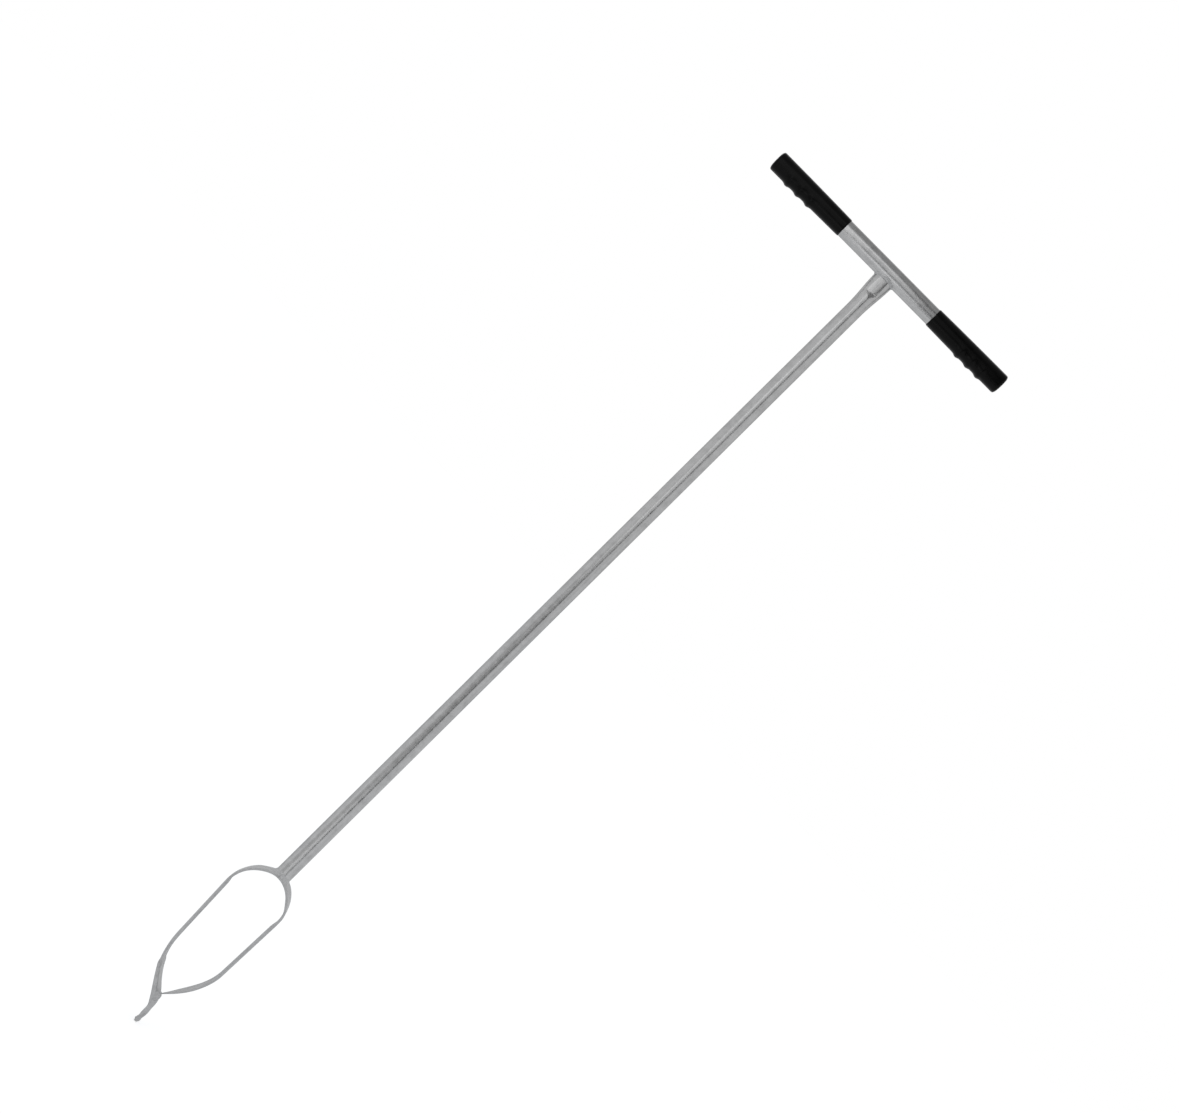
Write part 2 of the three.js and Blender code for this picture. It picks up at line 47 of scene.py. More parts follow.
# The photograph's camera
CAMERA_PLACE = (-0.01193, -2.1, 0.71511)
CAMERA_ROLL = 45.28
CAMERA_LENS = 58.22

# The tube shaft and the handle
TOTAL_LENGTH = 1180 * MM
HANDLE_LENGTH = 350 * MM
HANDLE_SHIFT = -2 * MM
HANDLE_RADIUS = 10.65 * MM
HANDLE_HEIGHT = TOTAL_LENGTH - HANDLE_RADIUS
TUBE_WALL = 2 * MM
SHAFT_RADIUS = 10 * MM
SHAFT_FOOT = 220.6 * MM
FLARE_HEIGHT = 1114 * MM
PRESSED_WIDTH = 25 * MM
PRESSED_DEPTH = 15.6 * MM
PRESSED_FLATS = 14 * MM
FLATS_HEIGHT = 1138.5 * MM
FIT_GAP = 0.3 * MM
CORNER_BEVEL = 0.3 * MM

# What the press left below the flats: the lean of the step, and a pointed dent in its middle
STEP_LEAN = 2.6
DENT_HALF_WIDTH = 4.2 * MM
DENT_TOP = FLATS_HEIGHT + 0.3 * MM
DENT_TIP = FLATS_HEIGHT - 8 * MM
DENT_TOP_DEPTH = 6.8 * MM  # both depths from the shaft's line
DENT_TIP_DEPTH = 9.2 * MM
DENT_TURN = 8

# The head's guide lines, each with its own shoulder, heel and lower end.
# The hammer turned each blade a little over the shoulder:
# middle height, reach, and lift of its front and back edges.
CROWN_HEIGHT = 226 * MM
CROWN_DROP = 44 * MM
SHOULDER_HEIGHT = CROWN_HEIGHT - CROWN_DROP
HEEL_HEIGHT = 103.2 * MM
LOOP_SHIFT = -1.9 * MM
LEFT = {
    "sign": -1, "shoulder": 37.8 * MM, "heel": 34.4 * MM, "exponent": 1.77,
    "pulls": (0.4, 0.33), "end": (-12.4 * MM, 45.2 * MM), "lean": 38.5,
    "turned": ((206 * MM, 22 * MM, 1.4 * MM, 0), (221 * MM, 8 * MM, 0, -0.8 * MM)),
}
RIGHT = {
    "sign": 1, "shoulder": 35.1 * MM, "heel": 32.5 * MM, "exponent": 2.05,
    "pulls": (0.35, 0.3), "end": (-4.4 * MM, 37.7 * MM), "lean": 36,
    "turned": ((200 * MM, 14 * MM, 1.4 * MM, 0),),
}
POINT_PULLS = (0.26, 0.62)
POINT_OFFSET = -1 * MM
POINT_LEAN = -6.7
ARM_TOP = 0.6  # of the way from the left heel to the neck

# The blades and the bit
BLADE_WIDTH = 26 * MM
BLADE_THICKNESS = 2.7 * MM
BLADE_EDGE = 1.6 * MM
BLADE_BEVEL = 3 * MM
BLADE_CAMBER = 2.1 * MM
NARROWING_HEIGHT = 74 * MM
RIGHT_TAIL = (42.7 * MM, 4 * MM, 1.5 * MM)  # height, width and thickness
ARM_WIDTH = 24.5 * MM
ARM_THICKNESS = 5.3 * MM
BIT_SECTIONS = (  # height, width, thickness, below the arm's top
    (45.2 * MM, 19 * MM, 6.3 * MM),
    (21 * MM, 6 * MM, 4.6 * MM),
    (3 * MM, 6.4 * MM, 5.2 * MM),
    (0, 3.4 * MM, 2.2 * MM),
)
BAR_SQUARENESS = 3.6  # 2 would be an oval
BIT_TWIST = 250
TWIST_HEIGHT = 62 * MM
TWIST_GROWTH = 2.6

# The weld between the shaft and the crown, a little fuller on the left
FOOT_SPREAD = 4.4 * MM
FOOT_FRONT = 2.9 * MM
FOOT_LIFT = 5.2 * MM
FOOT_LEAN = 0.9 * MM

# The bead round the coped joint: half its width at the sides, what it gains towards
# the front and the back, and its rise as a share of that half width
HANDLE_SEAM = 1.8 * MM
HANDLE_SEAM_GAIN = 1.2 * MM
HANDLE_SEAM_RISE = 0.62

# The weld round the joint of the left blade and the arm: how far its path lies up the blade,
# in from the arm's edges and off the strip's middle, and the weld's half width and rise
ARM_SEAM_BACK = 1.2 * MM
ARM_SEAM_INSET = 0.4 * MM
ARM_SEAM_DEPTH = 1.3 * MM
ARM_SEAM_SIZE = 6 * MM
ARM_SEAM_RISE = 1.3 * MM

# The heap of weld at the lap: the height of its middle, half its length and width,
# how far it rises, and how far its rim sinks into the bit
LAP_HEIGHT = 36.5 * MM
LAP_LENGTH = 7.5 * MM
LAP_WIDTH = 7 * MM
LAP_RISE = 4.4 * MM
LAP_SINK = 0.15 * MM

# The grips
GRIP_LENGTH = 106 * MM
GRIP_LIP = 11.45 * MM
GRIP_RADIUS = 12.3 * MM
GRIP_END_WALL = 4 * MM
GRIP_END_ROUNDING = 2.8 * MM
RIDGES = (26.3 * MM, 42.2 * MM, 58.1 * MM)  # from the closed end
RIDGE_PITCH = 15.9 * MM
RIDGE_HEIGHT = 1.6 * MM
PARTING_START = 4 * MM
PARTING_HEIGHT = 0.12 * MM
GRIP_DISH = (  # rings of the closed end, from its rim in: width and rise
    (1.2 * MM, 0),
    (0.5 * MM, -0.5 * MM),
    (4.2 * MM, 0),
    (0.3 * MM, 0.25 * MM),
)
BORE_ROOM = 0.05 * MM
LIP_BEVEL = 0.4 * MM
LIP_BEVEL_LENGTH = 0.5 * MM


# Selecting and finishing


def only(piece):
    """Leaves one object selected and active."""
    bpy.ops.object.select_all(action="DESELECT")
    piece.select_set(True)
    bpy.context.view_layer.objects.active = piece
    return piece


def started(name):
    """Names the primitive that was just added, and puts its place into its mesh."""
    piece = only(bpy.context.object)
    piece.name = piece.data.name = name
    bpy.ops.object.transform_apply(location=True, rotation=True, scale=True)
    return piece


def editing(piece, kind="VERT"):
    only(piece)
    bpy.ops.object.mode_set(mode="EDIT")
    bpy.ops.mesh.select_mode(type=kind)
    bpy.ops.mesh.select_all(action="DESELECT")


def edited():
    bpy.ops.object.mode_set(mode="OBJECT")


def pick(test):
    """In edit mode, selects the vertices, edges or faces that pass a test."""
    mesh = bpy.context.object.data
    form = bmesh.from_edit_mesh(mesh)
    kind = bpy.context.tool_settings.mesh_select_mode
    items = form.verts if kind[0] else form.edges if kind[1] else form.faces
    for item in items:
        item.select_set(bool(test(item)))
    form.select_flush_mode()
    bmesh.update_edit_mesh(mesh)


def modified(piece, kind, **settings):
    """Adds a modifier with its settings and applies it."""
    only(piece)
    modifier = piece.modifiers.new(kind.title(), kind)
    for key, value in settings.items():
        setattr(modifier, key, value)
    bpy.ops.object.modifier_apply(modifier=modifier.name)
    return piece


def cut(piece, cutter):
    """Takes a cutter's shape off a piece and removes the cutter."""
    modified(piece, "BOOLEAN", object=cutter, operation="DIFFERENCE", solver="EXACT")
    bpy.data.objects.remove(cutter)
    return piece


def smooth(piece, degrees=35):
    only(piece)
    bpy.ops.object.shade_smooth_by_angle(angle=math.radians(degrees))
    return piece


def carried(piece, material, slot, *nodes):
    """Gives a finished piece its material and its place on the auger."""
    piece.data.materials.clear()
    piece.data.materials.append(material)
    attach(piece, "root")
    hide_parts(*nodes)
    return piece


# Camera and studio


def photograph_camera():
    """A long lens square on to the auger, rolled so that the shaft runs across the frame."""
    camera = bpy.data.objects.new("camera", bpy.data.cameras.new("camera"))
    bpy.context.scene.collection.objects.link(camera)
    roll = math.radians(CAMERA_ROLL)
    right = Vector((math.cos(roll), 0, math.sin(roll)))
    up = Vector((-math.sin(roll), 0, math.cos(roll)))
    back = Vector((0, -1, 0))
    turn = Matrix((right, up, back)).transposed().to_4x4()
    camera.matrix_world = Matrix.Translation(CAMERA_PLACE) @ turn
    camera.data.lens = CAMERA_LENS
    camera.data.clip_start = 0.05
    bpy.context.scene.camera = camera


photograph_camera()
bpy.context.scene.view_settings.view_transform = "Standard"


def lit(name, location, size, strength, facing):
    """A soft panel lamp that looks at a point."""
    lamp = bpy.data.lights.new(name, "AREA")
    lamp.shape = "RECTANGLE"
    lamp.size, lamp.size_y = size
    lamp.energy = strength
    holder = bpy.data.objects.new(name, lamp)
    bpy.context.scene.collection.objects.link(holder)
    holder.location = location
    holder.rotation_mode = "QUATERNION"
    holder.rotation_quaternion = (Vector(facing) - Vector(location)).to_track_quat("-Z", "Y")
    holder.visible_camera = holder.visible_glossy = False


def card(name, location, size, facing, tone):
    """A studio card, dark or bright, that only shows in reflections."""
    bpy.ops.mesh.primitive_plane_add(size=1, location=location)
    panel = only(bpy.context.object)
    panel.name = name
    panel.scale = (*size, 1)
    panel.rotation_mode = "QUATERNION"
    panel.rotation_quaternion = (Vector(facing) - Vector(location)).to_track_quat("Z", "Y")
    shade = bpy.data.materials.new(name)
    shade.use_nodes = True
    nodes, links = shade.node_tree.nodes, shade.node_tree.links
    nodes.clear()
    glow = nodes.new("ShaderNodeEmission")
    glow.inputs["Color"].default_value = (tone, tone, tone, 1)
    links.new(glow.outputs[0], nodes.new("ShaderNodeOutputMaterial").inputs[0])
    panel.data.materials.append(shade)
    panel.visible_camera = panel.visible_shadow = panel.visible_diffuse = False


def seen_directly(nodes, links):
    """1 for rays that meet a white ground: the camera's, and those reflected or refracted."""
    path = nodes.new("ShaderNodeLightPath")
    total = path.outputs["Is Camera Ray"]
    for ray in ("Is Glossy Ray", "Is Transmission Ray"):
        join = nodes.new("ShaderNodeMath")
        join.operation = "MAXIMUM"
        links.new(total, join.inputs[0])
        links.new(path.outputs[ray], join.inputs[1])
        total = join.outputs[0]
    return total


def white_world():
    world = bpy.data.worlds.new("studio")
    bpy.context.scene.world = world
    world.use_nodes = True
    nodes, links = world.node_tree.nodes, world.node_tree.links
    nodes.clear()
    room, white = nodes.new("ShaderNodeBackground"), nodes.new("ShaderNodeBackground")
    room.inputs["Color"].default_value = (0.95, 0.97, 1, 1)
    room.inputs["Strength"].default_value = 0.8
    white.inputs["Strength"].default_value = 1
    white.inputs["Color"].default_value = (1, 1, 1, 1)
    mix = nodes.new("ShaderNodeMixShader")
    links.new(seen_directly(nodes, links), mix.inputs[0])
    links.new(room.outputs[0], mix.inputs[1])
    links.new(white.outputs[0], mix.inputs[2])
    links.new(mix.outputs[0], nodes.new("ShaderNodeOutputWorld").inputs[0])


def white_floor():
    """A white floor with a soft shadow: part of its white is its own, and part is light."""
    bpy.ops.mesh.primitive_plane_add(size=60, location=(0, 0, -0.0004))
    floor = only(bpy.context.object)
    floor.name = "floor"
    paint = bpy.data.materials.new("floor_paint")
    paint.use_nodes = True
    nodes, links = paint.node_tree.nodes, paint.node_tree.links
    nodes.clear()
    matt, glow = nodes.new("ShaderNodeBsdfDiffuse"), nodes.new("ShaderNodeEmission")
    matt.inputs["Color"].default_value = (0.5, 0.5, 0.5, 1)
    links.new(seen_directly(nodes, links), glow.inputs["Strength"])
    glow.inputs["Color"].default_value = (0.62, 0.62, 0.62, 1)
    join = nodes.new("ShaderNodeAddShader")
    links.new(matt.outputs[0], join.inputs[0])
    links.new(glow.outputs[0], join.inputs[1])
    links.new(join.outputs[0], nodes.new("ShaderNodeOutputMaterial").inputs[0])
    floor.data.materials.append(paint)


white_world()
white_floor()
lit("key_panel", (-1.6, -2.2, 2.4), (1.6, 1.6), 14, (0, 0, 0.7))
# Each card stands where its reflection draws a light or dark line along the steel.
card("ceiling_card", (0, -0.115, 1.6), (0.96, 0.69), (0, -0.115, 0), 0.48)
card("dark_step_card", (0.14, -0.38, 1.46), (0.16, 0.26), (0, 0, 1.135), 0.16)
card("dark_flag_top", (0.262, -0.75, 1.25), (0.19, 0.14), (0, 0, 1.25), 0.08)
card("dark_flag", (0.262, -0.757, 0.85), (0.15, 1.8), (0, 0, 0.85), 0.08)
card("bright_strip_high", (-0.25, -0.76, 1.11), (0.12, 0.74), (0, 0, 1.11), 1.8)
card("bright_strip_low", (-0.2, -0.77, 0.1), (0.12, 0.16), (0, 0, 0.1), 1.45)
card("bright_strip_top", (0, -3, 2.75), (2.4, 0.3), (0, 0, 1.17), 2)
card("bright_floor_card", (0.15, -1.2, 0.002), (0.9, 0.26), (0.15, -1.2, 1), 2.2)
card("bright_card_behind", (0.6, 0.8, 0.17), (0.7, 0.34), (0, 0, 0.17), 1.25)
card("dark_room_card", (-0.9, -2.3, 0.345), (2.9, 0.69), (-0.9, 0, 0.345), 0.72)
card("dark_floor_card", (-1, -1.45, 0.001), (1.3, 1.5), (-1, -1.45, 1), 0.7)
card("dark_side_card", (-1.25, -2.25, 0.45), (1.5, 0.28), (-1.25, 0, 0.45), 0.5)
card("dark_middle_card", (0.02, -2.25, 0.335), (1.1, 0.67), (0.02, 0, 0.335), 0.4)


# Materials


def blank(name):
    material = bpy.data.materials.new(name)
    material.use_nodes = True
    return material, material.node_tree.nodes, material.node_tree.links


def stretched(nodes, links, scale, source="Object"):
    """Coordinates of the piece, stretched along the grain."""
    place = nodes.new("ShaderNodeTexCoord")
    mapping = nodes.new("ShaderNodeMapping")
    mapping.inputs["Scale"].default_value = scale
    links.new(place.outputs[source], mapping.inputs["Vector"])
    return mapping.outputs["Vector"]


def noise(nodes, links, vector, scale, detail=4, rough=0.55):
    texture = nodes.new("ShaderNodeTexNoise")
    texture.inputs["Scale"].default_value = scale
    texture.inputs["Detail"].default_value = detail
    texture.inputs["Roughness"].default_value = rough
    links.new(vector, texture.inputs["Vector"])
    return texture.outputs["Fac"]


def ramp(nodes, links, value, *stops):
    """Colours or greys over a value, at given places."""
    table = nodes.new("ShaderNodeValToRGB")
    while len(table.color_ramp.elements) < len(stops):
        table.color_ramp.elements.new(0.5)
    for element, (place, colour) in zip(table.color_ramp.elements, stops):
        element.position = place
        element.color = colour if isinstance(colour, tuple) else (colour, colour, colour, 1)
    links.new(value, table.inputs["Fac"])
    return table.outputs["Color"]


def raised(nodes, links, height, distance, strength=1, under=None):
    bump = nodes.new("ShaderNodeBump")
    bump.inputs["Strength"].default_value = strength
    bump.inputs["Distance"].default_value = distance
    links.new(height, bump.inputs["Height"])
    if under:
        links.new(under, bump.inputs["Normal"])
    return bump.outputs["Normal"]


def grey(value):
    return (value, value * 1.004, value * 1.01, 1)


def steel(name, grain, tone=0.385, metal=1, rough=(0.2, 0.32), source="Object"):
    """Satin steel: drawn streaks along the grain, and a faint mottle over them."""
    material, nodes, links = blank(name)
    shader = nodes["Principled BSDF"]
    shader.inputs["Metallic"].default_value = metal
    shader.inputs["Specular Tint"].default_value = (0.6, 0.6, 0.6, 1)
    along = stretched(nodes, links, grain, source)
    plain = stretched(nodes, links, (1, 1, 1))
    streaks = noise(nodes, links, along, 420)
    mottle = noise(nodes, links, plain, 110, 6, 0.7)
    mix = nodes.new("ShaderNodeMix")
    mix.data_type = "FLOAT"
    mix.inputs[0].default_value = 0.65
    links.new(streaks, mix.inputs[2])
    links.new(mottle, mix.inputs[3])
    dull, bright = grey(tone * 0.79), grey(tone * 1.16)
    colour = ramp(nodes, links, mix.outputs[0], (0.34, dull), (0.5, grey(tone)), (0.66, bright))
    links.new(colour, shader.inputs["Base Color"])
    satin = ramp(nodes, links, mottle, (0.3, rough[0]), (0.7, rough[1]))
    links.new(satin, shader.inputs["Roughness"])
    waves = noise(nodes, links, along, 90, 1)
    soft = raised(nodes, links, waves, 0.00025)
    links.new(raised(nodes, links, streaks, 0.00001, 0.6, soft), shader.inputs["Normal"])
    return material


shaft_steel = steel("shaft_steel", (1, 1, 0.015))
handle_steel = steel("handle_steel", (0.015, 1, 1))
# The grain of the forged pieces runs along the strips and round the bar.
blade_steel = steel("blade_steel", (0.01, 0.026, 1), 0.43, 0.5, (0.36, 0.5), "UV")
bit_steel = steel("bit_steel", (0.05, 0.006, 1), 0.455, 0.5, (0.36, 0.5), "UV")
weld_steel = steel("weld_steel", (1, 1, 1), 0.42, 0.5, (0.34, 0.48))


def rubber():
    material, nodes, links = blank("grip_rubber")
    shader = nodes["Principled BSDF"]
    shader.inputs["IOR"].default_value = 1.17
    plain = stretched(nodes, links, (1, 1, 1))
    grain = noise(nodes, links, plain, 900, 3)
    wear = noise(nodes, links, plain, 60, 5)
    links.new(ramp(nodes, links, wear, (0.35, 0.001), (0.7, 0.003)), shader.inputs["Base Color"])
    links.new(ramp(nodes, links, wear, (0.3, 0.18), (0.7, 0.28)), shader.inputs["Roughness"])
    links.new(raised(nodes, links, grain, 0.0001, 0.6), shader.inputs["Normal"])
    return material


grip_rubber = rubber()


# The handle


def handle_tube():
    length = HANDLE_LENGTH - 2 * (GRIP_END_WALL + FIT_GAP)
    bpy.ops.mesh.primitive_cylinder_add(
        vertices=96, radius=HANDLE_RADIUS, depth=length, end_fill_type="NOTHING",
        location=(HANDLE_SHIFT, 0, HANDLE_HEIGHT), rotation=(0, math.pi / 2, 0),
    )
    tube = started("handle_bar")
    modified(tube, "SOLIDIFY", thickness=TUBE_WALL, offset=-1)
    modified(
        tube, "BEVEL",
        width=CORNER_BEVEL, segments=2, limit_method="ANGLE", angle_limit=math.radians(60),
    )
    carried(smooth(tube), handle_steel, "tube_steel", "handle_tube")


handle_tube()


def eased(value, low, high):
    share = min(max((value - low) / (high - low), 0), 1)
    return share * share * (3 - 2 * share)


def crown_top(x):
    """Height of the crown's upper face."""
    side = LEFT if x < LOOP_SHIFT else RIGHT
    share, exponent = abs(x - LOOP_SHIFT) / side["shoulder"], side["exponent"]
    arch = CROWN_DROP * (1 - share**exponent) ** (1 / exponent)
    return SHOULDER_HEIGHT + arch + BLADE_THICKNESS / 2


def shaft_tube():
    """A tube whose top is drawn out to an oval, pressed flat, and coped to the handle."""
    top = HANDLE_HEIGHT
    bpy.ops.mesh.primitive_cylinder_add(
        vertices=96, radius=SHAFT_RADIUS, depth=FLARE_HEIGHT - SHAFT_FOOT, end_fill_type="NOTHING",
        location=(0, 0, (FLARE_HEIGHT + SHAFT_FOOT) / 2),
    )
    tube = started("shaft_pipe")
    editing(tube)
    pick(lambda v: v.co.z > FLARE_HEIGHT - MM)
    rings = 24
    lift = (top - FLARE_HEIGHT) / rings
    for _ in range(rings):
        bpy.ops.mesh.extrude_region_move(TRANSFORM_OT_translate={"value": (0, 0, lift)})
    edited()
    for v in tube.data.vertices:
        pressed = eased(v.co.z, FLARE_HEIGHT, TOTAL_LENGTH - 2 * HANDLE_RADIUS)
        v.co.x *= 1 + pressed * (PRESSED_WIDTH / (2 * SHAFT_RADIUS) - 1)
        v.co.y *= 1 + pressed * (PRESSED_DEPTH / (2 * SHAFT_RADIUS) - 1)
        if v.co.z < SHAFT_FOOT + MM:
            v.co.z = crown_top(v.co.x) - BLADE_THICKNESS / 4
    modified(tube, "SOLIDIFY", thickness=TUBE_WALL, offset=-1)
    for turn in (0, math.pi):
        cut(tube, press_jaw(turn))
        cut(tube, jaw_mark(turn))
    cut(tube, round_cutter(HANDLE_RADIUS, 0.06, (0, 0, HANDLE_HEIGHT), (0, math.pi / 2, 0)))
    carried(smooth(tube, 30), shaft_steel, "tube_steel", "shaft_tube")


def round_cutter(radius, depth, location, rotation):
    bpy.ops.mesh.primitive_cylinder_add(
        vertices=128, radius=radius, depth=depth, location=location, rotation=rotation
    )
    return started("cutter")


def press_jaw(turn):
    """The block that presses one side flat, with a leaning face below the flat."""
    bpy.ops.mesh.primitive_cube_add(size=1)
    jaw = started("jaw")
    low, high, reach = FLATS_HEIGHT, TOTAL_LENGTH, 20 * MM
    drop = STEP_LEAN * (reach - PRESSED_FLATS / 2)
    for v in jaw.data.vertices:
        outer = v.co.y > 0
        v.co.x *= 0.06
        v.co.z = high if v.co.z > 0 else low - (drop if outer else 0)
        v.co.y = reach if outer else PRESSED_FLATS / 2
    jaw.data.transform(Matrix.Rotation(turn, 4, "Z"))
    return jaw


def jaw_mark(turn):
    """The pointed dent that the jaw leaves below the middle of the flat."""
    bpy.ops.mesh.primitive_cylinder_add(
        vertices=3, radius=1, depth=2, rotation=(-math.pi / 2, 0, 0)
    )
    mark = started("mark")
    for v in mark.data.vertices:
        outer, tip = v.co.y > 0, v.co.z < 0
        v.co.x = 0 if tip else math.copysign(DENT_HALF_WIDTH, v.co.x)
        v.co.z = DENT_TIP if tip else DENT_TOP
        v.co.y = 20 * MM if outer else (DENT_TIP_DEPTH if tip else DENT_TOP_DEPTH)
    mark.data.transform(Matrix.Rotation(turn + math.radians(DENT_TURN), 4, "Z"))
    return mark


shaft_tube()


# The head


def guide_line(side, *beyond):
    """The curve that a blade follows: crown, shoulder, heel, lower end, and anything beyond."""
    out, shoulder, heel = side["sign"], side["shoulder"], side["heel"]
    top = Vector((LOOP_SHIFT, 0, CROWN_HEIGHT))
    wide = Vector((LOOP_SHIFT + out * shoulder, 0, SHOULDER_HEIGHT))
    low = Vector((LOOP_SHIFT + out * heel, 0, HEEL_HEIGHT))
    end = Vector((side["end"][0], 0, side["end"][1]))
    round_off = (8 * 2 ** (-1 / side["exponent"]) - 4) / 3
    down = (low - wide).normalized()
    lean = math.radians(side["lean"])
    inwards = Vector((-out * math.sin(lean), 0, -math.cos(lean)))
    run = (end - low).length
    third = (low - wide) / 3
    knots = [
        (top, top, top + Vector((out * shoulder * round_off, 0, 0))),
        (wide, wide + Vector((0, 0, CROWN_DROP * round_off)), wide + third),
        (low, low - third, low + down * run * side["pulls"][0]),
        (end, end - inwards * run * side["pulls"][1], end),
    ]
    for place, lean, pulls in beyond:
        place, lean = Vector(place), math.radians(lean)
        run = (place - end).length
        back = Vector((out * math.sin(lean), 0, math.cos(lean)))
        knots[-1] = (*knots[-1][:2], end + inwards * run * pulls[0])
        knots.append((place, place + back * run * pulls[1], place))
    bpy.ops.curve.primitive_bezier_curve_add()
    line = started("guide")
    line.data.dimensions = "3D"
    line.data.twist_mode = "MINIMUM"
    line.data.resolution_u = 64
    spline = line.data.splines[0]
    spline.bezier_points.add(len(knots) - 2)
    for point, (place, before, after) in zip(spline.bezier_points, knots):
        point.handle_left_type = point.handle_right_type = "FREE"
        point.co, point.handle_left, point.handle_right = place, before, after
    return line


def run_of(line):
    """The guide line's points, each with its distance from the crown, its height and its lean."""
    points = line.data.splines[0].bezier_points
    rows, distance, last = [], 0, None
    for a, b in zip(points, points[1:]):
        for place in interpolate_bezier(a.co, a.handle_right, b.handle_left, b.co, 160):
            if last is not None:
                distance += (place - last).length
                lean = abs(math.atan2(place.x - last.x, last.z - place.z))
                rows.append((distance, place.z, lean))
            last = place
    return rows


def at_distance(rows, distance):
    """Height and lean of the guide line at a distance from the crown."""
    k = min(max(bisect(rows, (distance,)), 1), len(rows) - 1)
    (a, low, lean), (b, high, _) = rows[k - 1], rows[k]
    share = min(max((distance - a) / max(b - a, 1e-9), 0), 1)
    return low + (high - low) * share, lean


def distance_at(rows, height):
    """Distance from the crown at which the guide line has come down to a height."""
    return next((d for d, z, _ in rows if z <= height), rows[-1][0])


def roll_at(height, lean):
    """How far a section has turned about the guide line. The turn grows towards the point."""
    turn = math.radians(BIT_TWIST) * max(0, 1 - height / TWIST_HEIGHT) ** TWIST_GROWTH
    s, c = math.sin(turn), math.cos(turn)
    return turn + math.atan2(s * math.cos(lean), c) - math.atan2(s, c)


def bent(piece, rows, line):
    """Rolls a straight piece about its length and bends it over the guide line."""
    for v in piece.data.vertices:
        roll = roll_at(*at_distance(rows, v.co.x))
        v.co = Matrix.Rotation(roll, 3, "X") @ v.co
    return modified(piece, "CURVE", object=line, deform_axis="POS_X")


def flat_strip(name, length):
    """A straight strip of single faces, 1 mm across and about as long."""
    faces = round(length / (1.2 * MM))
    bpy.ops.mesh.primitive_grid_add(x_subdivisions=faces, y_subdivisions=26, size=1)
    strip = only(bpy.context.object)
    strip.scale = (length, BLADE_WIDTH, 1)
    strip.location.x = length / 2
    return started(name)


def edge_lift(side, height, u):
    """How far the hammer moved a place outwards. The edges are at u = -1 and 1."""
    front = (1 - side["sign"] * u) / 2
    total = 0
    for middle, reach, at_front, at_back in side["turned"]:
        share = (1 + math.cos(math.pi * min(abs(height - middle) / reach, 1))) / 2
        total += share * (at_front * front + at_back * (1 - front))
    return total


def blade(name, side, line, rows, end, tail):
    """A strip with ground edges, narrowed at its lower end and bent over its guide line."""
    strip = flat_strip(name, end)
    weights = strip.vertex_groups.new(name="thickness")
    for v in strip.data.vertices:
        height, _ = at_distance(rows, v.co.x)
        u = v.co.y / (BLADE_WIDTH / 2)
        narrowing = min(max((NARROWING_HEIGHT - height) / (NARROWING_HEIGHT - tail[0]), 0), 1) ** 2
        width = BLADE_WIDTH + (tail[1] - BLADE_WIDTH) * narrowing
        thickness = BLADE_THICKNESS + (tail[2] - BLADE_THICKNESS) * narrowing
        below = eased(SHOULDER_HEIGHT - height, -7 * MM, 7 * MM)
        flattening = eased(HEEL_HEIGHT - height, 0, HEEL_HEIGHT - tail[0])
        edge = thickness + (min(BLADE_EDGE, thickness) - thickness) * below
        ground = min((1 - abs(u)) * width / 2 / BLADE_BEVEL, 1)
        v.co.y = u * width / 2
        v.co.z = edge_lift(side, height, u) - BLADE_CAMBER * u * u * below * (1 - flattening)
        weights.add([v.index], (edge + (thickness - edge) * ground) / BLADE_THICKNESS, "REPLACE")
    modified(
        strip, "SOLIDIFY",
        thickness=BLADE_THICKNESS, offset=0, vertex_group="thickness", use_even_offset=True,
    )
    modified(
        strip, "BEVEL",
        width=CORNER_BEVEL, segments=3, limit_method="ANGLE", angle_limit=math.radians(50),
    )
    bent(strip, rows, line)
    carried(smooth(strip, 9), blade_steel, "blade_steel", name.replace("_strip", ""))


def section_at(height, arm_top):
    """Width and thickness of the bit at a height."""
    sections = ((arm_top, ARM_WIDTH, ARM_THICKNESS), *BIT_SECTIONS)
    height = min(max(height, 0), arm_top)
    for high, low in zip(sections, sections[1:]):
        if height >= low[0]:
            share = eased(high[0] - height, 0, high[0] - low[0])
            return high[1] + (low[1] - high[1]) * share, high[2] + (low[2] - high[2]) * share
    return sections[-1][1:]


def boxy(angle):
    """A point on a bar's section of half width and half depth 1: flat sides with round corners."""
    power = 2 / BAR_SQUARENESS
    c, s = math.cos(angle), math.sin(angle)
    return math.copysign(abs(c) ** power, c), math.copysign(abs(s) ** power, s)


def straight_bar(name, start, end, sides, rings):
    """A round bar of radius 1 along X, cut into rings."""
    bpy.ops.mesh.primitive_cylinder_add(
        vertices=sides, radius=1, depth=end - start,
        location=((start + end) / 2, 0, 0), rotation=(0, math.pi / 2, 0),
    )
    bar = started(name)
    editing(bar, "EDGE")
    pick(lambda e: abs(e.verts[0].co.x - e.verts[1].co.x) > (end - start) / 2)
    bpy.ops.mesh.subdivide(number_cuts=rings)
    edited()
    return bar


def forged_bit(line, rows, start):
    arm_top = at_distance(rows, start)[0]
    bar = straight_bar("bit_bar", start, rows[-1][0], 48, 150)
    for v in bar.data.vertices:
        width, thickness = section_at(at_distance(rows, v.co.x)[0], arm_top)
        across, through = boxy(math.atan2(v.co.z, v.co.y))
        v.co.y, v.co.z = across * width / 2, through * thickness / 2
    bent(bar, rows, line)
    for v in bar.data.vertices:
        v.co.z = max(v.co.z, 0)
    carried(smooth(bar, 50), bit_steel, "blade_steel", "bit")


left_line = guide_line(LEFT, ((POINT_OFFSET, 0, 0), POINT_LEAN, POINT_PULLS))
right_line = guide_line(RIGHT)
left_rows, right_rows = run_of(left_line), run_of(right_line)


